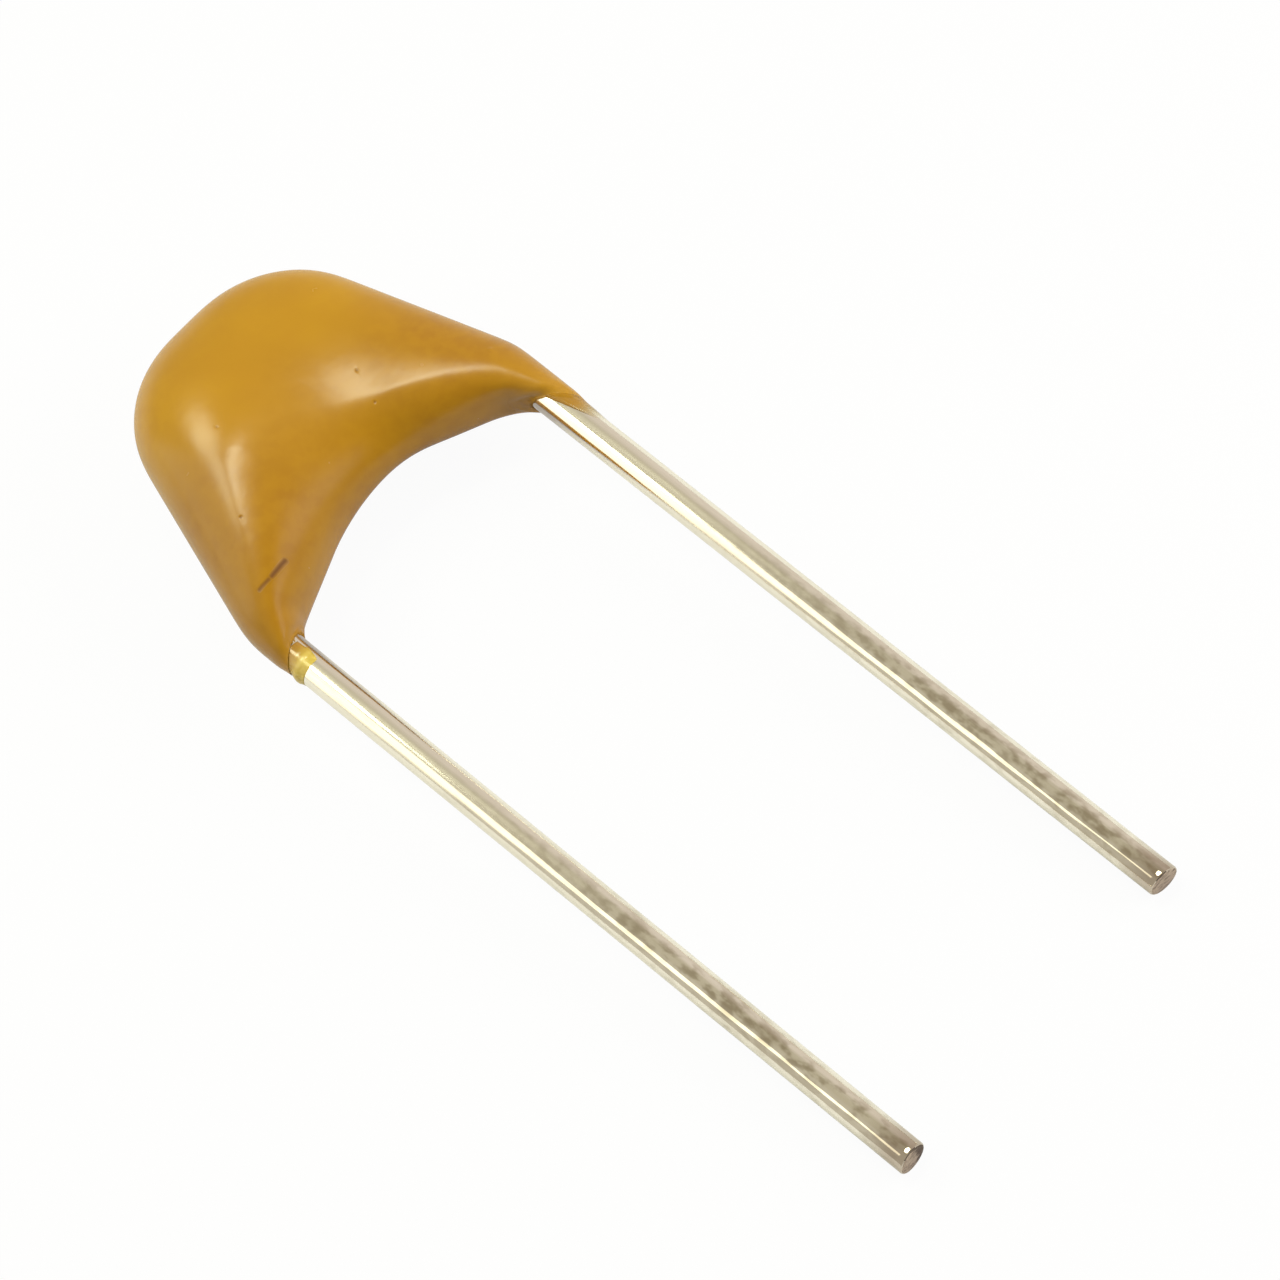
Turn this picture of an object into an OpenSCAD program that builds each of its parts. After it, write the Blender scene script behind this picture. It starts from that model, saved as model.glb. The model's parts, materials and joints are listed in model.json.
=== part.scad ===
// Dipped multilayer ceramic capacitor with two radial wires, lying on its face as it comes to rest.
// Millimetres. The wires point to -Y, the crown of the coating to +Y, +Z is up.

/* [Wires] */
// Spacing of the two wires below the coating
pitch = 5.08; // [4.8:0.02:5.4]
// Diameter of a tinned wire
wire_d = 0.5; // [0.4:0.02:0.56]
// Length of the left wire below the seat of the coating
lead_len = 12.1; // [6:0.05:25]
// How much shorter the right wire is
right_trim = 0.11; // [0:0.01:0.5]
// Chamfer that the cutter leaves at a wire's tip
tip_cut = 0.04; // [0.02:0.01:0.08]
// Slope of the splayed stretch inside the coating
splay_deg = 38; // [34:1:42]
// Centre-line radius of both bends of a wire
bend_r = 0.6; // [0.4:0.05:0.8]
// Height above the seat at which a wire starts to splay
knee_y = 0.15; // [0.05:0.01:0.25]

/* [Chip] */
// Length of the ceramic from end face to end face
chip_l = 2; // [1.6:0.05:2.1]
// Height of the ceramic along the wires
chip_h = 1.25; // [1:0.05:1.4]
// Thickness of the ceramic
chip_t = 0.9; // [0.6:0.05:1]
// Chamfer along the four long edges of the ceramic
chip_edge = 0.1; // [0.05:0.01:0.15]
// Thickness of the fired end metal
cap_t = 0.06; // [0.04:0.01:0.08]
// Width of the band that the end metal turns onto the sides
cap_band = 0.4; // [0.3:0.05:0.5]
// Film of solder between a wire and the end metal
solder_gap = 0.03; // [0.02:0.01:0.05]
// Thickness of the solder around a wire
solder_t = 0.12; // [0.08:0.01:0.15]

/* [Coating] */
// Greatest thickness of the coating, front to back
coat_t = 2.4; // [2.2:0.05:2.8]
// Resin above the chip
crown_cover = 1.72; // [1.4:0.02:1.9]
// Width between the two shoulder corners before they are rounded
shoulder_w = 3.22; // [3:0.02:3.6]
// Radius of the rounded shoulders
shoulder_r = 1.75; // [1.2:0.05:1.85]
// How far the crown leans to the right
crown_lean = 0.08; // [-0.1:0.01:0.1]
// Height of the left knee corner above the seat
knee_left = 0.84; // [0.8:0.01:1.2]
// Radius of the left knee
knee_left_r = 1.5; // [0.6:0.05:2]
// Height of the right knee corner above the seat
knee_right = 0.96; // [0.8:0.01:1.2]
// Radius of the right knee
knee_right_r = 0.7; // [0.6:0.05:2]
// How far the resin runs below the seat on the outer side of the left wire
run_left = 0.05; // [0.05:0.05:0.6]
// How far the resin runs below the seat on the outer side of the right wire
run_right = 0.5; // [0.05:0.05:0.6]
// Height above the seat at which the resin ends on the inner side of the left wire
inner_left = 0.34; // [0.3:0.02:0.5]
// Height above the seat at which the resin ends on the inner side of the right wire
inner_right = 0.48; // [0.3:0.02:0.5]
// Resin film around a wire where the coating ends
film = 0.04; // [0.03:0.01:0.06]
// Height of the arch's middle above the seat
arch_y = 1.14; // [1.1:0.02:1.4]
// Slope of the arch beside its rounded middle
arch_deg = 23; // [20:1:28]
// Radius of the arch's middle
arch_r = 2.6; // [1.5:0.1:3]
// Radius of the turn from the arch into a leg
crook_r = 0.24; // [0.1:0.02:0.3]
// Bluntness of the edge around the arch
arch_edge = 2.9; // [2.4:0.1:4]
// Where the faces stand highest: the arch is -1, the outline 1
crest = -0.1; // [-0.3:0.01:0.3]
// How far the crest of the right half lies nearer to the arch
right_crest = 0.45; // [0:0.01:0.5]
// Where the right half's crest comes nearest: the middle is 0, the right leg's end 1
right_at = 0.3; // [0.2:0.02:0.5]
// Reach of the right half's crest
right_reach = 0.38; // [0.2:0.02:0.4]
// How much thicker the coating is along the right half's crest
right_rise = 0.03; // [0:0.01:0.15]
// How much straighter the right half falls from its crest to the arch
right_fall = 1.1; // [0:0.05:1.2]
// How much thinner the right half is than the left, as a share of the thickness
right_drop = 0.32; // [0:0.01:0.36]
// Reach of the change from the left half to the right
half_blend = 0.34; // [0.2:0.02:0.8]
// How quickly a leg thickens towards the middle: 1 is an even curve
leg_swell = 0.65; // [0.5:0.05:1]
// Sink of the faces from their crest to the edge of the arch, as a share of the thickness
face_sink = 0.34; // [0:0.01:0.4]
// Where the faces sink most: the left leg is -1, the middle 0, the right leg 1
sink_at = -0.18; // [-0.3:0.02:0.3]
// Reach of the sunk stretch towards the left leg
sink_left = 0.82; // [0.5:0.02:0.9]
// Reach of the sunk stretch towards the right leg
sink_right = 1; // [0.8:0.02:1.1]
// Curve of the sunk stretch at the legs: 1 is a straight slope
sink_leg = 1.6; // [0.8:0.02:2]
// Curve of the sunk stretch at the middle
sink_mid = 0.9; // [0.8:0.02:2]
// Share of the sink that reaches over the crest of the right half
sink_over = 0.8; // [0:0.05:1]
// How quickly that share fades towards the outline
sink_fade = 3.4; // [1:0.1:4]

/* [Hidden] */
STATIONS = 28;
RING = 40;
LEFT = 0;
RIGHT = 1;
wire_r = wire_d / 2;
leg_x = pitch / 2;
leg_r = wire_r + film;
swell = 0.01;
lap = 0.05;
// Wire run beside the chip, and the heights at which its splay starts and ends
run_x = chip_l / 2 + cap_t + solder_gap + wire_r;
bend_x = bend_r * (1 - cos(splay_deg));
bend_y = bend_r * sin(splay_deg);
splay_y = (leg_x - run_x - 2 * bend_x) / tan(splay_deg);
chip_y = knee_y + 2 * bend_y + splay_y;
crown_y = chip_y + chip_h + crown_cover;
// The solder stops short of the chip's edges
solder_h = chip_h - 2 * solder_t;

// Points of an arc about c, from angle a to angle b
function arc(c, r, a, b, n = 16) =
    [for (i = [0:n]) let (t = a + (b - a) * i / n) c + r * [cos(t), sin(t)]];

// A corner at q rounded to radius r, between the directions from p and to s
function turn(p, q, s, r) =
    let (u = (p - q) / norm(p - q), v = (s - q) / norm(s - q))
    let (half = acos(u * v) / 2, m = (u + v) / norm(u + v))
    let (c = q + m * r / sin(half), d = r / tan(half))
    let (ra = q + u * d - c, rb = q + v * d - c)
    let (a = atan2(ra.y, ra.x), b = atan2(rb.y, rb.x))
    arc(c, r, a, b < a - 180 ? b + 360 : b);

// Outline of one half, from the leg's end up the flank to the crown
function flank(end, knee, knee_r, lean) =
    let (a = [leg_x + leg_r, -end], b = [leg_x + leg_r, knee])
    let (c = [shoulder_w / 2 + lean, crown_y], d = [lean, crown_y])
    concat([a], turn(a, b, c, knee_r), turn(b, c, d, shoulder_r), [d]);

// Arch of one half, from the leg's inner end to the middle
bare = [leg_x - bend_r, knee_y] + (bend_r - leg_r) * [cos(splay_deg), sin(splay_deg)];
brow = [arch_r * sin(arch_deg), arch_y - arch_r * (1 - cos(arch_deg))];
function arch(end) =
    let (heel = [bare.x - (end - bare.y) * tan(splay_deg), end])
    let (leg_line = heel.y + heel.x / tan(splay_deg), arch_line = brow.y + brow.x * tan(arch_deg))
    let (x = (leg_line - arch_line) / (1 / tan(splay_deg) - tan(arch_deg)))
    let (crook = [x, arch_line - x * tan(arch_deg)])
    concat([heel], turn(heel, crook, brow, crook_r),
           arc([0, arch_y - arch_r], arch_r, 90 - arch_deg, 90));

// Running length of a line of points, and the point at a fraction of it
function runs(p, i = 0, sum = 0) =
    i == len(p) - 1 ? [sum] : concat([sum], runs(p, i + 1, sum + norm(p[i + 1] - p[i])));
function at(p, run, f) =
    [for (k = [0, 1]) lookup(f * run[len(run) - 1], [for (i = [0:len(p) - 1]) [run[i], p[i][k]]])];
flanks = [flank(run_left, knee_left, knee_left_r, -crown_lean),
          flank(run_right, knee_right, knee_right_r, crown_lean)];
arches = [arch(inner_left), arch(inner_right)];
flank_runs = [for (p = flanks) runs(p)];
arch_runs = [for (p = arches) runs(p)];

// Thickness and sink along the coating: g runs from the left leg's end (-1) to the right leg's end (1)
function to_right(g) = (1 + sin(90 * max(-1, min(1, g / half_blend)))) / 2;
function right_ridge(g) = exp(-pow((g - right_at) / right_reach, 2));
function half_t(g) =
    let (full = coat_t / 2 * (1 - right_drop * to_right(g)))
    let (even = leg_r + (full - leg_r) * pow(sin(90 * (1 - abs(g))), leg_swell))
    even * (1 + right_rise * right_ridge(g));
function sink(g) =
    g < sink_at ? face_sink * cos(90 * min(1, (sink_at - g) / sink_left))
                : face_sink * (1 + cos(180 * min(1, (g - sink_at) / sink_right))) / 2;

// One ring of the coating, between the arch and the outline
function ring(g) =
    let (f = 1 - abs(g), side = g < 0 ? LEFT : RIGHT)
    let (o = at(flanks[side], flank_runs[side], f), n = at(arches[side], arch_runs[side], f))
    let (top = crest * sin(90 * min(1, 2 * f)) - right_crest * right_ridge(g))
    let (blunt = 2 / (2 + (arch_edge - 2) * sin(90 * f) - right_fall * right_ridge(g)))
    let (over = sink_over * to_right(g), curve = sink_leg + (sink_mid - sink_leg) * f)
    [for (k = [0:RING - 1])
        let (c = cos(360 * k / RING), s = sin(360 * k / RING))
        let (w = c < 0 ? -pow(-c, blunt) : c)
        let (p = (o + n) / 2 + (o - n) / 2 * (top + (c < 0 ? 1 + top : 1 - top) * w))
        let (dip = c < 0 ? over + (1 - over) * pow(-w, curve) : over * pow(1 - w, sink_fade))
        let (h = c < 0 ? sign(s) * pow(abs(s), blunt) : s)
        [side == LEFT ? -p.x : p.x, p.y, half_t(g) * h * (1 - sink(g) * dip)]];
rings = [for (i = [-STATIONS:STATIONS]) ring(i / STATIONS)];
skin_points = [for (r = rings) for (p = r) p];
COUNT = len(rings);
skin_faces = concat(
    [[for (k = [0:RING - 1]) k]],
    [for (i = [0:COUNT - 2]) for (k = [0:RING - 1]) each [
        [i * RING + k, (i + 1) * RING + k, (i + 1) * RING + (k + 1) % RING],
        [i * RING + k, (i + 1) * RING + (k + 1) % RING, i * RING + (k + 1) % RING]]],
    [[for (k = [RING - 1:-1:0]) (COUNT - 1) * RING + k]]);

// Lying at rest: the tips and the belly of the coating touch the ground
tip_y = -lead_len + tip_cut;
rest_deg = max([for (p = skin_points) atan((-wire_r - p.z) / (p.y - tip_y))]);
back_y = max([for (p = skin_points) (p.y - tip_y) * cos(rest_deg) - (p.z + wire_r) * sin(rest_deg)]);
front_y = -tip_cut * cos(rest_deg) - (2 * wire_r - tip_cut) * sin(rest_deg);
module lie() {
    translate([0, -(back_y + front_y) / 2, 0])
        rotate([rest_deg, 0, 0])
            translate([0, -tip_y, wire_r])
                children();
}

// Round wire of length h along +Y
module rod(h) {
    rotate([-90, 0, 0])
        cylinder(h = h, r = wire_r, $fn = 48);
}

// Bend of a wire, a little fuller than its straight stretches, which reach into it
module bend() {
    rotate_extrude(angle = splay_deg, $fn = 96)
        translate([bend_r, 0])
            circle(r = wire_r + swell, $fn = 48);
}

module wire(side) {
    end = side < 0 ? -lead_len : right_trim - lead_len;
    mirror([side < 0 ? 1 : 0, 0, 0]) {
        translate([leg_x, end, 0])
            rotate([-90, 0, 0])
                cylinder(h = tip_cut, r1 = wire_r - tip_cut, r2 = wire_r, $fn = 48);
        translate([leg_x, end + tip_cut, 0])
            rod(knee_y + lap - tip_cut - end);
        translate([leg_x - bend_r, knee_y, 0])
            bend();
        translate([leg_x - bend_x, knee_y + bend_y, 0])
            rotate([0, 0, splay_deg])
                translate([0, -lap, 0])
                    rod(splay_y / cos(splay_deg) + 2 * lap);
        translate([run_x + bend_r, chip_y, 0])
            rotate([0, 0, 180])
                bend();
        translate([run_x, chip_y - lap, 0])
            rod(chip_h + lap);
    }
}

// Block along X with its four long edges chamfered
module block(l, h, t, edge) {
    rotate([90, 0, 90])
        linear_extrude(height = l, center = true)
            polygon([[edge - h / 2, -t / 2], [h / 2 - edge, -t / 2],
                     [h / 2, edge - t / 2], [h / 2, t / 2 - edge],
                     [h / 2 - edge, t / 2], [edge - h / 2, t / 2],
                     [-h / 2, t / 2 - edge], [-h / 2, edge - t / 2]]);
}

module chip_body() {
    translate([0, chip_y + chip_h / 2, 0])
        block(chip_l, chip_h, chip_t, chip_edge);
}

module cap_body(side) {
    translate([side * (chip_l / 2 + cap_t - (cap_band + cap_t) / 2), chip_y + chip_h / 2, 0])
        block(cap_band + cap_t, chip_h + 2 * cap_t, chip_t + 2 * cap_t, chip_edge + cap_t);
}

module solder_body(side) {
    translate([side * run_x, chip_y + solder_t, 0])
        rotate([-90, 0, 0])
            rotate_extrude($fn = 48)
                polygon([[0, 0], [wire_r + solder_t / 2, 0], [wire_r + solder_t, solder_t],
                         [wire_r + solder_t, solder_h - solder_t], [wire_r + solder_t / 2, solder_h],
                         [0, solder_h]]);
}

module end_termination(side) {
    lie()
        difference() {
            cap_body(side);
            chip_body();
        }
}

module solder_joint(side) {
    lie()
        difference() {
            solder_body(side);
            cap_body(side);
            wire(side);
        }
}

module coating() {
    color([0.72, 0.52, 0.12])
        lie()
            difference() {
                polyhedron(points = skin_points, faces = skin_faces);
                chip_body();
                cap_body(-1);
                cap_body(1);
                solder_body(-1);
                solder_body(1);
                wire(-1);
                wire(1);
            }
}

module ceramic_chip() {
    color([0.55, 0.5, 0.44])
        lie()
            chip_body();
}

module end_termination_left() {
    color([0.75, 0.74, 0.72])
        end_termination(-1);
}

module end_termination_right() {
    color([0.75, 0.74, 0.72])
        end_termination(1);
}

module solder_joint_left() {
    color([0.66, 0.67, 0.68])
        solder_joint(-1);
}

module solder_joint_right() {
    color([0.66, 0.67, 0.68])
        solder_joint(1);
}

module lead_left() {
    color([0.78, 0.76, 0.72])
        lie()
            wire(-1);
}

module lead_right() {
    color([0.78, 0.76, 0.72])
        lie()
            wire(1);
}

coating();
ceramic_chip();
end_termination_left();
end_termination_right();
solder_joint_left();
solder_joint_right();
lead_left();
lead_right();
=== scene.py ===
import json
import math

import bmesh
import bpy
from mathutils import Matrix, Vector, noise
from mathutils.bvhtree import BVHTree


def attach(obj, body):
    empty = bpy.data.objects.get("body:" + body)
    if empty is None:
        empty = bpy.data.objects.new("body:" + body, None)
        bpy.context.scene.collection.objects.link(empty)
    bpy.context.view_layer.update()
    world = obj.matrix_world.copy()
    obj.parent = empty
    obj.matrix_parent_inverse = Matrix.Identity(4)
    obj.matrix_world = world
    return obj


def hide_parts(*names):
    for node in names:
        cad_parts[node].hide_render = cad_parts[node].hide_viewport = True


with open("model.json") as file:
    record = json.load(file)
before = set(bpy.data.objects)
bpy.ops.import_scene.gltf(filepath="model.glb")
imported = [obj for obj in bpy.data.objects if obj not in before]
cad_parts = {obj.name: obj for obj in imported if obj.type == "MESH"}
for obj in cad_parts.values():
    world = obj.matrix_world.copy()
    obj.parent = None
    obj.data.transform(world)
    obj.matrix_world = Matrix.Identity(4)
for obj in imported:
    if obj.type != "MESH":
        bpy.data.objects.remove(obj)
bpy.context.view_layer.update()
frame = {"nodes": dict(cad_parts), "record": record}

# The chip: thin ceramic and metal layers, pressed into a block, cut and fired hard.
# It sits across the wires inside the coating, and its dry grey-brown skin is matt.
CHIP_GREY = (0.27, 0.21, 0.16, 1)
CHIP_DARK = (0.16, 0.12, 0.09, 1)
MM = 0.001


class Tone:
    """A socket of a finish. Sums on tones add Math nodes, and node() adds any other node."""

    # The sockets of a Mix node that hold its factor, its two colours and their mix
    FACTOR, FIRST, SECOND, MIXED = 0, 6, 7, 2

    def __init__(self, tree, socket=None):
        self.tree = tree
        self.socket = socket

    def join(self, node, sockets):
        for name, value in sockets.items():
            if isinstance(value, Tone):
                self.tree.links.new(value.socket, node.inputs[name])
            else:
                node.inputs[name].default_value = value

    def node(self, kind, settings, sockets, output=0):
        made = self.tree.nodes.new("ShaderNode" + kind)
        for name, value in settings.items():
            setattr(made, name, value)
        self.join(made, sockets)
        return Tone(self.tree, made.outputs[output])

    def math(self, operation, first, second):
        return self.node("Math", {"operation": operation}, {0: first, 1: second})

    def __add__(self, other):
        return self.math("ADD", self, other)

    def __rsub__(self, other):
        return self.math("SUBTRACT", other, self)

    def __mul__(self, other):
        return self.math("MULTIPLY", self, other)

    __radd__ = __add__
    __rmul__ = __mul__

    def fade(self, low, high):
        """0 up to low, 1 from high, and a soft change between them."""
        return self.node("MapRange", {"interpolation_type": "SMOOTHSTEP"},
                         {"Value": self, "From Min": low, "From Max": high})

    def between(self, first, second):
        """The first colour where this tone is 0, the second where it is 1."""
        colours = {self.FACTOR: self, self.FIRST: first, self.SECOND: second}
        return self.node("Mix", {"data_type": "RGBA"}, colours, self.MIXED)

    def stretched(self, x, y, z):
        return self.node("VectorMath", {"operation": "MULTIPLY"}, {0: self, 1: (x, y, z)})

    def cloud(self, scale, detail=2.0, roughness=0.5):
        return self.node("TexNoise", {}, {"Vector": self, "Scale": scale, "Detail": detail,
                                          "Roughness": roughness})

    def along(self, axis):
        return self.node("SeparateXYZ", {}, {"Vector": self}, axis)

    def bump(self, strength, height):
        """A normal from this tone, as a relief of a height in millimetres."""
        return self.node("Bump", {}, {"Height": self, "Strength": strength, "Distance": height * MM})


def new_finish(name):
    """A material, and its place tone: millimetres from the object's origin."""
    material = bpy.data.materials.new(name)
    material.use_nodes = True
    start = Tone(material.node_tree)
    place = start.node("TexCoord", {}, {}, "Object").stretched(1 / MM, 1 / MM, 1 / MM)
    return material, place


def feed(material, sockets):
    """Values and tones into the sockets of a material's shader."""
    shader = material.node_tree.nodes["Principled BSDF"]
    Tone(material.node_tree).join(shader, sockets)


def dress(node, material):
    """Puts a material on a CAD node that keeps its own mesh."""
    mesh = frame["nodes"][node].data
    mesh.materials.clear()
    mesh.materials.append(material)


fired, place = new_finish("fired_ceramic")
layers = place.stretched(1, 1, 14).cloud(1.5, 3)
feed(fired, {"Base Color": layers.fade(0.35, 0.65).between(CHIP_GREY, CHIP_DARK),
             "Roughness": 0.62 + 0.2 * place.cloud(9, 3)})
dress("ceramic_chip", fired)

# End terminations: silver paste, dipped onto both ends of the chip and fired on,
# then plated. They join the layers inside the chip and take the solder.
END_SILVER = (0.62, 0.60, 0.56, 1)
END_DULL = (0.40, 0.37, 0.33, 1)

plated, place = new_finish("fired_end_metal")
paste = place.cloud(6, 4, 0.6)
feed(plated, {"Base Color": paste.fade(0.35, 0.7).between(END_SILVER, END_DULL),
              "Metallic": 1.0,
              "Roughness": 0.38 + 0.2 * paste})
for node in ("end_termination_left", "end_termination_right"):
    dress(node, plated)

# Solder joints: a fillet of tin solder around each wire, run in against the end metal
# when the wires and the chip were dipped, so its skin is bright with a few ripples.
SOLDER_BRIGHT = (0.60, 0.60, 0.60, 1)
SOLDER_GREY = (0.38, 0.38, 0.39, 1)
RIPPLE_HIGH = 0.02

run_in, place = new_finish("solder")
ripple = place.cloud(4, 2)
feed(run_in, {"Base Color": ripple.fade(0.3, 0.7).between(SOLDER_BRIGHT, SOLDER_GREY),
              "Metallic": 1.0,
              "Roughness": 0.2 + 0.25 * ripple,
              "Normal": ripple.bump(0.3, RIPPLE_HIGH)})
for node in ("solder_joint_left", "solder_joint_right"):
    dress(node, run_in)

# Wires: drawn copper-clad steel, hot-tinned, 0.5 mm thick. Each comes up straight from its
# tip, splays inwards in two bends inside the coating and runs on beside the chip.
# Cutters took them to length, so the tips are a little slanted and show the bare core.
# In millimetres on the part's own axes: the wires' spacing, radius and lengths below the seat, how far
# below it the mount pins start, the splay and its bends, and the straight run up beside the chip
PITCH = 5.08
WIRE_R = 0.25
LEADS = {"left": 12.1, "right": 11.99}
PIN_TOP = 0.55
SPLAY = math.radians(38)
BEND_R = 0.6
KNEE_Y = 0.15
RUN_X = 1.34
CHIP_Y = 2.099
CHIP_H = 1.25
SIDES = 48
PULL_STEP = 0.12
BEND_STEPS = 8
# The cut tips: the way each faces, its rounded edge, its rim, its sunk core and the ring around that,
# and the turns that tell a cut face and a sharp edge
CUT_SLANT = {"left": (0.10, -1, -0.10), "right": (-0.06, -1, -0.12)}
CUT_ROUND = 0.035
CUT_RIM = 0.03
CUT_SINK = 0.008
CORE_RING = 0.06
CUT_TURN = -0.8
SHARP_TURN = math.radians(20)
# The tin's lumps and the torn core: how deep the lumps are, how often they come, and the fine relief
TIN_LUMP = 0.004
LUMP_ACROSS = 4.0
LUMP_ALONG = 1.4
LUMP_HIGH = 0.02
TEAR_HIGH = 0.02
# From where to where, on the part's own axes: the tin's change towards the tips, the stain above the
# cut, the dark line along the front (tarnish and a painted reflection), the painted shade on the left
# tip, and left and right
TIP_HALF = (-9, -2)
CUT_STAIN = (-11.95, -11.2)
FRONT_TARNISH_AND_REFLECTION = (0.2, 0.248)
LEFT_TIP_PAINTED_SHADE = (-2.55, -2.35)
LEFT_TO_RIGHT = (-1, 1)
TIN = (0.97, 0.93, 0.85, 1)
TIN_DULL = (0.85, 0.80, 0.69, 1)
# The tarnish colour also darkens the line along the front, where it is partly a painted reflection
TARNISH_AND_PAINTED_REFLECTION = (0.36, 0.29, 0.19, 1)
TIP_BROWN = (0.42, 0.33, 0.27, 1)
CORE = (0.55, 0.44, 0.35, 1)
# The dark core colour also paints shade on the right side of the left tip's cut face
CORE_DARK_AND_SHADE = (0.13, 0.09, 0.07, 1)

# The part's own axes, in millimetres: X across the wires, Y from the seat to the crown, Z to the front
pins = {pin["name"]: pin for pin in frame["record"]["mounts"]}
up = -Vector(pins["left_wire"]["axis"])
pin_half = pins["left_wire"]["dims"]["length_mm"] / 2
pin_middle = (Vector(pins["left_wire"]["pos_m"]) + Vector(pins["right_wire"]["pos_m"])) / 2
across = Vector((1, 0, 0))
seat = (Matrix.Translation(pin_middle + up * (PIN_TOP + pin_half) * MM)
        @ Matrix((across, up, across.cross(up))).transposed().to_4x4()
        @ Matrix.Scale(MM, 4))


def own_axes(tone):
    """The place tone on the part's own axes."""
    return tone.node("Mapping", {"vector_type": "TEXTURE"},
                     {"Vector": tone, "Location": seat.translation / MM,
                      "Rotation": seat.to_euler()})


def new_piece(name, shape, materials, slot, *nodes):
    """Makes a piece of a mesh on the part's own axes. It stands for the nodes."""
    bmesh.ops.transform(shape, matrix=seat, verts=shape.verts)
    mesh = bpy.data.meshes.new(name)
    shape.to_mesh(mesh)
    shape.free()
    mesh.shade_smooth()
    for material in materials:
        mesh.materials.append(material)
    piece = bpy.data.objects.new(name, mesh)
    bpy.context.scene.collection.objects.link(piece)
    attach(piece, "root")
    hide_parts(*nodes)
    return piece


def ring(shape, centre_x, y, sides):
    """A loop of edges around a wire at a height."""
    stand = Matrix.Translation((centre_x, y, 0)) @ Matrix.Rotation(math.radians(90), 4, "X")
    bmesh.ops.create_circle(shape, segments=sides, radius=WIRE_R, matrix=stand)
    return shape.edges[:]


def edges_of(parts):
    return [part for part in parts if isinstance(part, bmesh.types.BMEdge)]


def pull(shape, loop, vector, steps):
    """Draws a loop of edges out along a vector in equal steps, and returns the last loop."""
    for _ in range(steps):
        drawn = bmesh.ops.extrude_edge_only(shape, edges=loop)["geom"]
        verts = [part for part in drawn if isinstance(part, bmesh.types.BMVert)]
        bmesh.ops.translate(shape, verts=verts, vec=vector / steps)
        loop = [edge for edge in edges_of(drawn) if edge.is_boundary]
    return loop


def pull_wire(wire, loop, vector):
    return pull(wire, loop, vector, round(vector.length / PULL_STEP))


def bend_wire(wire, loop, centre_x, centre_y, angle):
    """Turns a loop of edges on around the centre of a bend, and returns the last loop."""
    spun = bmesh.ops.spin(wire, geom=loop, cent=(centre_x, centre_y, 0), axis=(0, 0, 1),
                          angle=angle, steps=BEND_STEPS)
    return edges_of(spun["geom_last"])


def lowest(faces):
    return min(faces, key=lambda face: face.calc_center_median().y)


def draw_wire(side, lead, slant):
    """One wire, from its tip up to its end beside the chip. The right side is 1, the left -1."""
    wire = bmesh.new()
    leg_x = side * PITCH / 2
    loop = pull_wire(wire, ring(wire, leg_x, -lead, SIDES), Vector((0, lead + KNEE_Y, 0)))
    loop = bend_wire(wire, loop, leg_x - side * BEND_R, KNEE_Y, side * SPLAY)
    bend_x = BEND_R * (1 - math.cos(SPLAY))
    splay_x = PITCH / 2 - RUN_X - 2 * bend_x
    loop = pull_wire(wire, loop, Vector((-side * splay_x, splay_x / math.tan(SPLAY), 0)))
    loop = bend_wire(wire, loop, side * (RUN_X + BEND_R), CHIP_Y, -side * SPLAY)
    pull_wire(wire, loop, Vector((0, CHIP_H, 0)))
    for vert in wire.verts:
        x, y, z = vert.co
        if y < KNEE_Y:
            lump = noise.noise(Vector((LUMP_ACROSS * x, LUMP_ALONG * y, LUMP_ACROSS * z)))
            sink = 1 - TIN_LUMP * (0.5 + 0.5 * lump) / WIRE_R
            vert.co.x = leg_x + (x - leg_x) * sink
            vert.co.z = z * sink
    reach = WIRE_R * math.hypot(slant[0], slant[2])
    bmesh.ops.bisect_plane(wire, geom=wire.verts[:] + wire.edges[:] + wire.faces[:],
                           plane_co=(leg_x, -lead + reach, 0), plane_no=slant, clear_outer=True)
    bmesh.ops.holes_fill(wire, edges=[e for e in wire.edges if e.is_boundary], sides=0)
    bmesh.ops.recalc_face_normals(wire, faces=wire.faces[:])
    bmesh.ops.bevel(wire, geom=lowest(wire.faces).edges[:], offset=CUT_ROUND, segments=3, profile=0.5,
                    affect="EDGES", material=-1)
    bmesh.ops.inset_region(wire, faces=[lowest(wire.faces)], thickness=CUT_RIM, depth=-CUT_SINK)
    core = lowest(face for face in wire.faces if len(face.verts) > 4)
    bmesh.ops.inset_region(wire, faces=[core], thickness=CORE_RING, depth=0)
    cut_top = -lead + 2 * reach + CUT_ROUND / 2
    for face in wire.faces:
        if face.calc_center_median().y < cut_top and face.normal.y < CUT_TURN:
            face.material_index = 1
    return wire


tinned, place = new_finish("tinned_wire")
own = own_axes(place)
die_lines = own.stretched(1, 0.05, 1).cloud(22, 3, 0.6)
lumps = own.stretched(1, 0.03, 1).cloud(7, 2, 0.5)
patches = own.stretched(1, 0.35, 1).cloud(2.2, 4, 0.65)
spots = own.stretched(1, 0.5, 1).cloud(8, 2, 0.5)
height = own.along("Y")
to_tip = 1 - height.fade(*TIP_HALF)
cut_end = 1 - height.fade(*CUT_STAIN)
front = own.along("Z").fade(*FRONT_TARNISH_AND_REFLECTION)
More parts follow.
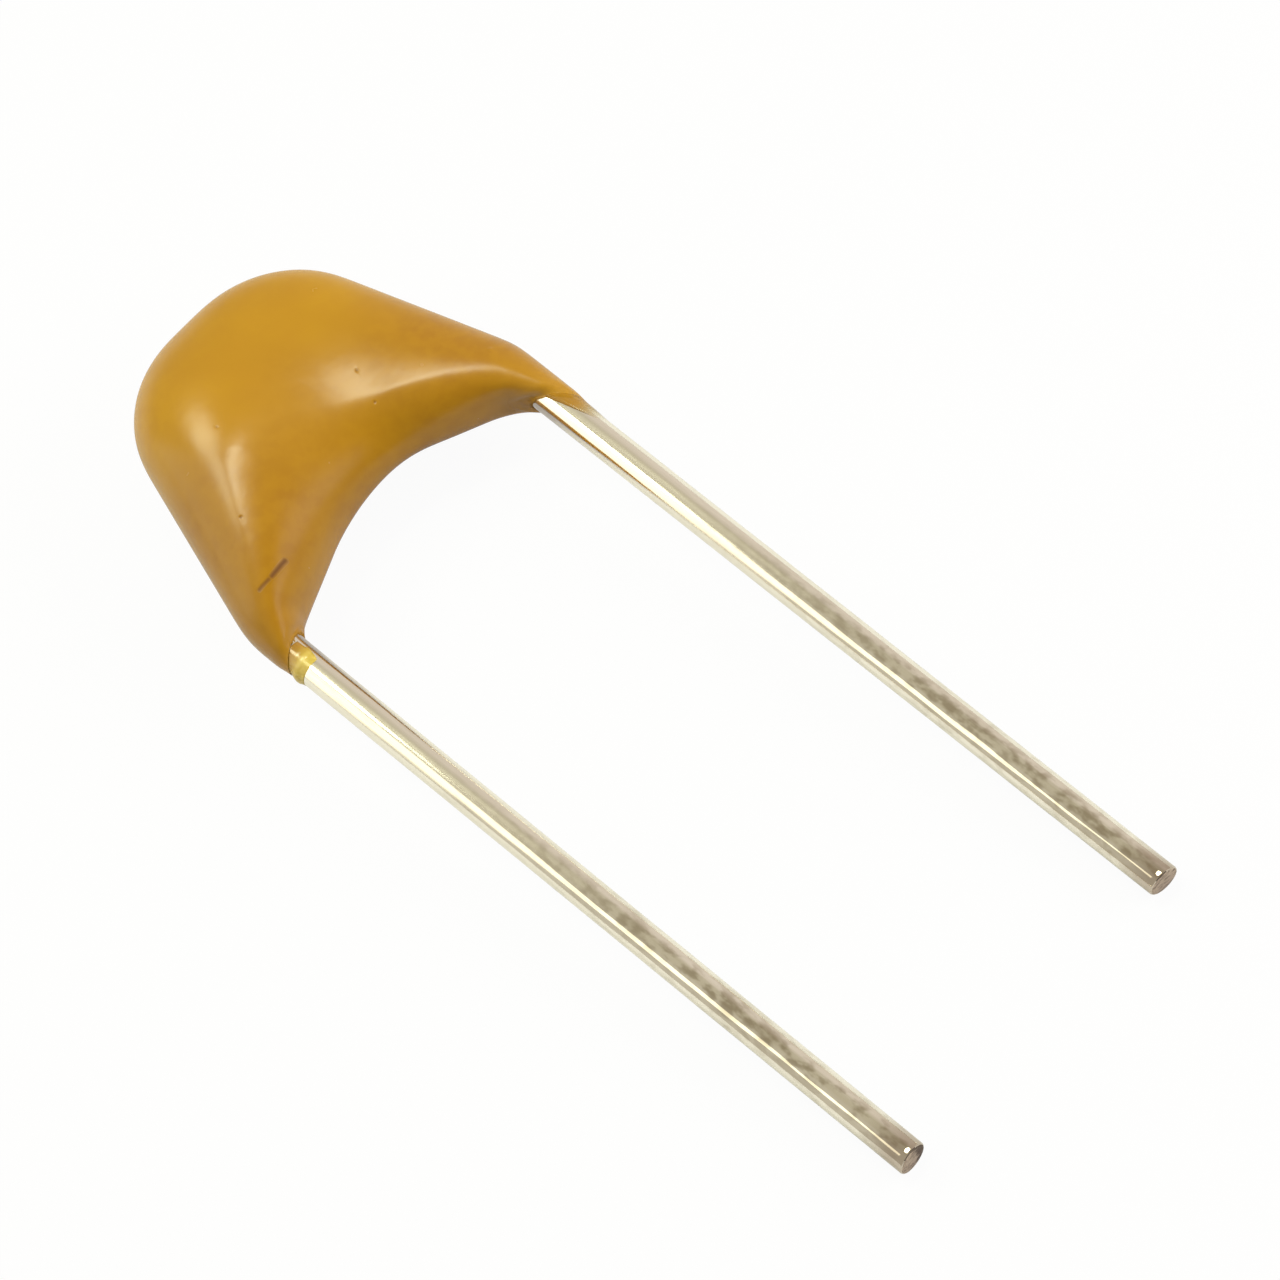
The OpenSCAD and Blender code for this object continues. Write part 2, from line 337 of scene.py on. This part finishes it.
# The dark streak along the front towards the tips is partly tarnish and partly a painted reflection of
# dark surroundings
tarnish_and_painted_reflection = front * to_tip * (0.4 * patches + 0.6 * spots).fade(0.42, 0.6)
worn = (patches + 0.08 * to_tip + 0.2 * cut_end).fade(0.55, 0.78)
dull = (0.6 * die_lines + 0.4 * lumps).fade(0.35, 0.68)
tin_colour = (0.5 * dull).between(TIN, TIN_DULL)
tin_colour = (0.25 * worn + 0.2 * to_tip * spots.fade(0.45, 0.65)).between(tin_colour, TARNISH_AND_PAINTED_REFLECTION)
tin_colour = (0.55 * tarnish_and_painted_reflection).between(tin_colour, TARNISH_AND_PAINTED_REFLECTION)
tin_colour = (0.6 * cut_end).between(tin_colour, TIP_BROWN)
bumps = (0.05 + to_tip) * lumps
feed(tinned, {"Base Color": tin_colour,
              "Metallic": 1.0,
              "Roughness": 0.045 + (1 - to_tip) * (0.085 + 0.04 * dull + 0.03 * worn),
              "Normal": bumps.bump(0.6, LUMP_HIGH)})

sheared, place = new_finish("cut_core")
own = own_axes(place)
tear = own.stretched(1, 1, 3).cloud(9, 4, 0.65)
rightwards = own.along("X")
# Besides the torn core's dark flecks, the right side of the left tip's cut face is darkened: painted
# shade
painted_shade_side = rightwards.fade(*LEFT_TIP_PAINTED_SHADE) * (1 - rightwards.fade(*LEFT_TO_RIGHT))
feed(sheared, {"Base Color": (tear + 0.3 * painted_shade_side).fade(0.45, 0.72).between(CORE, CORE_DARK_AND_SHADE),
               "Metallic": 0.8,
               "Roughness": 0.42 + 0.2 * tear,
               "Normal": tear.bump(0.6, TEAR_HIGH)})

for side, name in ((-1, "left"), (1, "right")):
    wire = draw_wire(side, LEADS[name], CUT_SLANT[name])
    wire_piece = new_piece("wire_" + name, wire, (tinned, sheared), "tinned_wire", "lead_" + name)
    wire_piece.data.set_sharp_from_angle(angle=SHARP_TURN)

# Coating: ochre epoxy, dipped and baked over the chip and the splayed wires. It draws into a
# ridge over each wire, sinks to a web between them and thins out on the legs.
# Handling left a scratch on the left leg, and the bake a few burst bubbles.
# What tells doubled points, the walls of the inner hollows, and two triangles that make one face
MERGE = 0.0005
WALL_GAP = 0.03
WALL_TURN = -0.6
JOIN_TURN = math.radians(60)
JOIN_SKEW = math.radians(120)
SMOOTH_LEVELS = 2
OCHRE = (0.375, 0.178, 0.0015, 1)
OCHRE_LIGHT = (0.41, 0.207, 0.002, 1)
OCHRE_DEEP = (0.30, 0.130, 0.001, 1)
SCRATCH_BROWN = (0.13, 0.042, 0.002, 1)
THIN_RESIN = (0.42, 0.22, 0.02, 1)
SAG_HIGH = 0.03
# From where to where, up the part: the colour that turns lighter upwards, and the thin resin on the
# legs
LIGHTER_UPWARDS = (1.9, 3.8)
THIN_LEGS = (0.05, 0.6)
# Marks on the front: the points of each, its half width, its depth and how dark it is
SCRATCHES = ((((-2.28, 0.857), (-2.08, 0.860)), 0.036, 0.003, 0.8),
             (((-2.02, 0.863), (-1.726, 0.91)), 0.042, 0.004, 1.0))
PITS = ((((0.99, 2.17),), 0.030, 0.010, 0.6), (((0.81, 1.645),), 0.026, 0.008, 0.6),
        (((-0.95, 2.93),), 0.024, 0.008, 0.5), (((-1.70, 1.72),), 0.026, 0.008, 0.6))
NIB = (((2.45, 0.99),), 0.05, -0.012, 0.0)
MARKS = SCRATCHES + (NIB,) + PITS
# How many half widths out from a mark the mesh is finer and the hollow fades, and how often it is cut
MARK_FINE = 3
MARK_FADE = 1.3
MARK_CUTS = 2
# Where the coating ends on each leg: how far down on the outer side and how high on the inner
ENDS = {-1: (-0.05, 0.34), 1: (-0.5, 0.48)}
# The film on the legs: its thickness, what counts as thick, the least that stays, and how it tapers
FILM = 0.04
FILM_THICK = 0.12
FILM_LEAST = 0.014
END_TAPER = 0.3
END_THIN = 0.6

skin = bmesh.new()
skin.from_mesh(frame["nodes"]["coating"].data)
bmesh.ops.transform(skin, matrix=seat.inverted(), verts=skin.verts)
bmesh.ops.remove_doubles(skin, verts=skin.verts, dist=MERGE)
sealed = {}
for node, solid in frame["nodes"].items():
    if node != "coating":
        points = [seat.inverted() @ vert.co for vert in solid.data.vertices]
        sealed[node] = BVHTree.FromPolygons(points, [p.vertices[:] for p in solid.data.polygons])
walls = []
for face in skin.faces:
    for solid in sealed.values():
        _, normal, _, gap = solid.find_nearest(face.calc_center_median())
        if gap < WALL_GAP and normal.dot(face.normal) < WALL_TURN:
            walls.append(face)
            break
bmesh.ops.delete(skin, geom=walls, context="FACES")
bmesh.ops.holes_fill(skin, edges=[e for e in skin.edges if e.is_boundary], sides=0)
bmesh.ops.join_triangles(skin, faces=skin.faces[:], angle_face_threshold=JOIN_TURN,
                         angle_shape_threshold=JOIN_SKEW)
rough = bpy.data.meshes.new("coating_blank")
skin.to_mesh(rough)
skin.free()
blank = bpy.data.objects.new("coating_blank", rough)
bpy.context.scene.collection.objects.link(blank)
smoothed = blank.modifiers.new("smoothed", "SUBSURF")
smoothed.levels = smoothed.render_levels = SMOOTH_LEVELS
skin = bmesh.new()
skin.from_object(blank, bpy.context.evaluated_depsgraph_get())
bpy.data.objects.remove(blank)
bpy.data.meshes.remove(rough)


def ease(value):
    """0 below 0, 1 above 1, and a soft change between them."""
    value = min(1, max(0, value))
    return value * value * (3 - 2 * value)


def beside(point, line):
    """Distance on the front from a point to a mark's points and the lines between them."""
    gap = (point - Vector(line[0])).length
    for start, end in zip(line, line[1:]):
        run = Vector(end) - Vector(start)
        share = min(1, max(0, (point - Vector(start)).dot(run) / run.length_squared))
        gap = min(gap, (point - Vector(start) - run * share).length)
    return gap


def wire_x(y):
    """How far a wire's centre line is from the middle, at a height below its splay."""
    rise = min(max(0, y - KNEE_Y), BEND_R * math.sin(SPLAY))
    return PITCH / 2 - BEND_R + math.sqrt(BEND_R ** 2 - rise ** 2)


for vert in skin.verts:
    side = 1 if vert.co.x > 0 else -1
    outer, inner = ENDS[side]
    centre_x = side * wire_x(vert.co.y)
    arm = Vector((vert.co.x - centre_x, vert.co.z))
    film = arm.length - WIRE_R
    if vert.co.y < inner + END_TAPER and 0 < film < FILM_THICK:
        share = 0.5 - 0.5 * side * arm.x / arm.length
        above = vert.co.y - (outer + (inner - outer) * share)
        drawn_in = (1 - ease(above / END_TAPER)) * (1 - ease((film - FILM) / (FILM_THICK - FILM)))
        arm *= (WIRE_R + film * (1 - END_THIN * drawn_in)) / arm.length
        vert.co.x = centre_x + arm.x
        vert.co.z = arm.y

wires = [tree for node, tree in sealed.items() if node.startswith("lead")]
for vert in skin.verts:
    for wire in wires:
        point, normal, _, gap = wire.find_nearest(vert.co)
        if gap < FILM_LEAST or (gap < FILM_THICK / 2 and normal.dot(vert.co - point) < 0):
            vert.co = point + normal * FILM_LEAST

for line, half, _, _ in MARKS:
    for _ in range(MARK_CUTS):
        near = [face for face in skin.faces if face.normal.z > 0
                and beside(face.calc_center_median().xy, line) < MARK_FINE * half]
        edges = list({edge for face in near for edge in face.edges})
        bmesh.ops.subdivide_edges(skin, edges=edges, cuts=1, use_grid_fill=True)
skin.normal_update()
darkness = skin.verts.layers.float.new("mark")
for vert in skin.verts:
    if vert.normal.z > 0:
        for line, half, depth, dark in MARKS:
            hollow = 1 - ease(beside(vert.co.xy, line) / (MARK_FADE * half))
            vert[darkness] = max(vert[darkness], dark * hollow)
            vert.co -= vert.normal * depth * hollow

dipped, place = new_finish("ochre_epoxy")
own = own_axes(place)
drift = own.cloud(0.7, 2)
mottle = own.cloud(5, 2)
mark = own.node("Attribute", {"attribute_name": "mark"}, {}, "Fac")
height = own.along("Y")
# The coating is darker towards the bottom and lighter towards the crown, with a slow random drift
lighter_upwards = 0.35 * drift.fade(0.3, 0.7) + 0.65 * height.fade(*LIGHTER_UPWARDS)
ochre = lighter_upwards.between(OCHRE_DEEP, OCHRE_LIGHT)
ochre = (0.4 * mottle.fade(0.35, 0.65)).between(ochre, OCHRE)
thin = 0.5 * (1 - (height + 0.3 * mottle).fade(*THIN_LEGS))
ochre = thin.between(ochre, THIN_RESIN)
ochre = mark.between(ochre, SCRATCH_BROWN)
feed(dipped, {"Base Color": ochre,
              "Roughness": 0.235 + 0.05 * mottle + 0.25 * mark,
              "IOR": 1.52,
              "Normal": own.cloud(3.5, 2).bump(0.12, SAG_HIGH)})
new_piece("coating_dipped", skin, (dipped,), "epoxy_coating", "coating")

# Resin runs: where the dip stopped, clear amber resin crept on down the wires, as a bead on
# the front of the left one and as a thin tongue on the outer side of the right one.
AMBER = (0.60, 0.42, 0.03, 1)
AMBER_PALE = (0.78, 0.62, 0.14, 1)
THIN_AMBER = (0.46, 0.34, 0.13, 1)
RUN_SIDES = 48
RUN_RINGS = 24
RUN_SINK = 0.02
RUN_WRAP = 4
RUN_LIP = 0.004
BEAD_AT = 0.68
BEAD_SPREAD = 0.2
# From where to where, up the part: the clear end of the bead, of the tongue, and of both
BEAD_CLEAR = (-0.3, 0.1)
TONGUE_CLEAR = (-0.8, -0.4)
RUN_FADE = (-0.95, -0.45)
# Each run: side, top, lowest end, the way it faces from the wire, how little it wraps it,
# how much it narrows, its thickness, and its bead
RUNS = {"left": (-1, 0.12, -0.32, (-0.7, 0.71), 1.9, 0.0, 0.006, 0.034),
        "right": (1, 0.25, -0.95, (0.9, 0.44), 1.1, 1.9, 0.024, 0.0)}

amber, place = new_finish("amber_resin")
own = own_axes(place)
swirl = own.cloud(4, 3)
height = own.along("Y")
clear = swirl.fade(0.35, 0.65).between(AMBER, AMBER_PALE)
bead_colour = height.fade(*BEAD_CLEAR).between(clear, OCHRE)
tongue_colour = height.fade(*TONGUE_CLEAR).between(THIN_AMBER, OCHRE)
rightwards = own.along("X").fade(*LEFT_TO_RIGHT)
feed(amber, {"Base Color": rightwards.between(bead_colour, tongue_colour),
             "Roughness": 0.08 + 0.1 * swirl,
             "Alpha": height.fade(*RUN_FADE) * (0.6 + 0.3 * swirl),
             "IOR": 1.5})

for name, (side, top, low, facing, bare, narrowing, film, bead) in RUNS.items():
    run = bmesh.new()
    leg_x = side * PITCH / 2
    pull(run, ring(run, leg_x, top, RUN_SIDES), Vector((0, low - top, 0)), RUN_RINGS)
    bmesh.ops.holes_fill(run, edges=[e for e in run.edges if e.is_boundary], sides=0)
    bmesh.ops.recalc_face_normals(run, faces=run.faces[:])
    for vert in run.verts:
        arm = Vector((vert.co.x - leg_x, vert.co.z)).normalized()
        facing_share = 0.5 + 0.5 * arm.dot(Vector(facing).normalized())
        share = (vert.co.y - top) / (low - top)
        cover = ease(RUN_WRAP * facing_share - bare - narrowing * share)
        vert.co.y = top + (low - top) * share * (0.5 + 0.5 * cover)
        thickness = film * math.sqrt(max(0, 1 - share)) - RUN_LIP * share ** 4
        thickness += bead * math.exp(-((share - BEAD_AT) / BEAD_SPREAD) ** 2)
        thickness = thickness * cover - RUN_SINK * (1 - cover)
        vert.co.x = leg_x + arm.x * (WIRE_R + thickness)
        vert.co.z = arm.y * (WIRE_R + thickness)
    new_piece("resin_run_" + name, run, (amber,), "epoxy_coating")

# Table: a plain matt sheet under the part, laid flat. Seen directly it is white, with a faint
# shadow of the part on it, and the wires mirror it a little greyer.
SHEET_GREY = (0.6, 0.6, 0.6, 1)
FLOOR_HALF = 0.5
FLOOR_DROP = 0.000002
SHADOW_KEEP = 0.05
MIRRORED_WHITE = 0.25

sheet, _ = new_finish("white_table")
feed(sheet, {"Base Color": SHEET_GREY, "Roughness": 0.9})
tree = sheet.node_tree
start = Tone(tree)
seen = start.node("LightPath", {}, {}, "Is Camera Ray")
seen = seen + MIRRORED_WHITE * start.node("LightPath", {}, {}, "Is Glossy Ray")
seen = seen + MIRRORED_WHITE * start.node("LightPath", {}, {}, "Is Transmission Ray")
white = start.node("Emission", {}, {"Color": (1, 1, 1, 1), "Strength": 1.0})
paper = Tone(tree, tree.nodes["Principled BSDF"].outputs[0])
table_shader = start.node("MixShader", {}, {0: seen * (1 - SHADOW_KEEP), 1: paper, 2: white})
tree.links.new(table_shader.socket, tree.nodes["Material Output"].inputs["Surface"])
floor = bmesh.new()
bmesh.ops.create_grid(floor, x_segments=2, y_segments=2, size=FLOOR_HALF,
                      matrix=Matrix.Translation((0, 0, -FLOOR_DROP)))
floor_mesh = bpy.data.meshes.new("table")
floor.to_mesh(floor_mesh)
floor.free()
floor_mesh.materials.append(sheet)
table = bpy.data.objects.new("table", floor_mesh)
bpy.context.scene.collection.objects.link(table)

# Light: three softboxes, beyond the crown, close over the left ridge and far overhead, give the coating
# its highlights. A strip low on the left brightens the wires' left side, a fill from the lower right
# lights the legs and the underside, and a dim warm tent stands around it all.
LIT_POINT = Vector((0, 2.2, 0.6))
# Each lamp: the way to it and how far, on the part's own axes, its two sizes, its radiance and tint
LAMPS = {"softbox_crown": ((-0.04, 0.69, 0.72), 140, 64, 40, 7.7, (0.97, 1, 0.72)),
         "softbox_ridge": ((-0.32, 0.44, 0.84), 18, 5.8, 6.0, 6.2, (0.97, 1, 0.72)),
         "softbox_top": ((0.14, 0.258, 0.956), 1500, 850, 310, 12.2, (0.97, 1, 0.76)),
         "strip": ((-0.68, 0.6, 0.43), 60, 37, 60, 1.0, (1, 0.97, 0.72)),
         "fill": ((0.65, -0.6, 0.45), 80, 60, 40, 7.4, (1, 1, 1))}
TENT_TOP = (0.50, 0.455, 0.34, 1)
TENT_RIGHT = (0.70, 0.63, 0.54, 1)
TENT_LEFT = (0.56, 0.52, 0.42, 1)
TENT_FRONT = (0.22, 0.20, 0.18, 1)
# From where to where the tent turns to its right, its left and its front
RIGHT_WALL = (0.3, 0.85)
LEFT_WALL = (0.1, 0.6)
FRONT_WALL = (0.1, 0.7)

for name, (way, reach, wide, high, radiance, tint) in LAMPS.items():
    softbox = name.startswith("softbox")
    lamp_data = bpy.data.lights.new(name, "AREA")
    lamp_data.shape = "ELLIPSE" if softbox else "RECTANGLE"
    lamp_data.color = tint
    lamp_data.size = wide * MM
    lamp_data.size_y = high * MM
    area = wide * high * MM * MM * (math.pi / 4 if softbox else 1)
    lamp_data.energy = radiance * math.pi * area
    lamp = bpy.data.objects.new(name, lamp_data)
    away = Vector(way).normalized()
    lamp.location = seat @ (LIT_POINT + away * reach)
    # The softboxes stand level with the row of wires, the other lamps upright
    if softbox:
        level = (across - away * away.x).normalized()
        turned = Matrix((level, away.cross(level), away)).transposed().to_quaternion()
    else:
        turned = away.to_track_quat("Z", "Y")
    lamp.rotation_euler = (seat.to_quaternion() @ turned).to_euler()
    lamp.visible_camera = False
    lamp.visible_glossy = name != "fill"
    bpy.context.scene.collection.objects.link(lamp)

world = bpy.data.worlds.new("tent")
world.use_nodes = True
bpy.context.scene.world = world
start = Tone(world.node_tree)
outwards = start.node("TexCoord", {}, {}, "Generated")
tent = outwards.along("X").fade(*RIGHT_WALL).between(TENT_TOP, TENT_RIGHT)
tent = (0 - outwards.along("X")).fade(*LEFT_WALL).between(tent, TENT_LEFT)
tent = (0 - outwards.along("Y")).fade(*FRONT_WALL).between(tent, TENT_FRONT)
start.join(world.node_tree.nodes["Background"], {"Color": tent, "Strength": 1.0})

# Camera: far off with a long lens, looking down on the front, turned so the wires run
# to the lower right. Its place is on the part's own axes.
AIM = Vector((0.562, -3.883, 0.45))
AZIMUTH = math.radians(-19.538)
ELEVATION = math.radians(60.122)
ROLL = math.radians(-29.113)
REACH = 145.09
LENS = 298.1

lens = bpy.data.cameras.new("camera")
lens.lens = LENS
lens.sensor_width = 36
lens.clip_start = 0.001
lens.clip_end = 10
camera = bpy.data.objects.new("camera", lens)
back = Vector((math.sin(AZIMUTH) * math.cos(ELEVATION), -math.cos(AZIMUTH) * math.cos(ELEVATION),
               math.sin(ELEVATION)))
turned = seat.to_quaternion() @ back.to_track_quat("Z", "Y")
camera.matrix_world = (Matrix.Translation(seat @ (AIM + back * REACH))
                       @ turned.to_matrix().to_4x4() @ Matrix.Rotation(ROLL, 4, "Z"))
bpy.context.scene.collection.objects.link(camera)
bpy.context.scene.camera = camera
bpy.context.scene.view_settings.view_transform = "Standard"
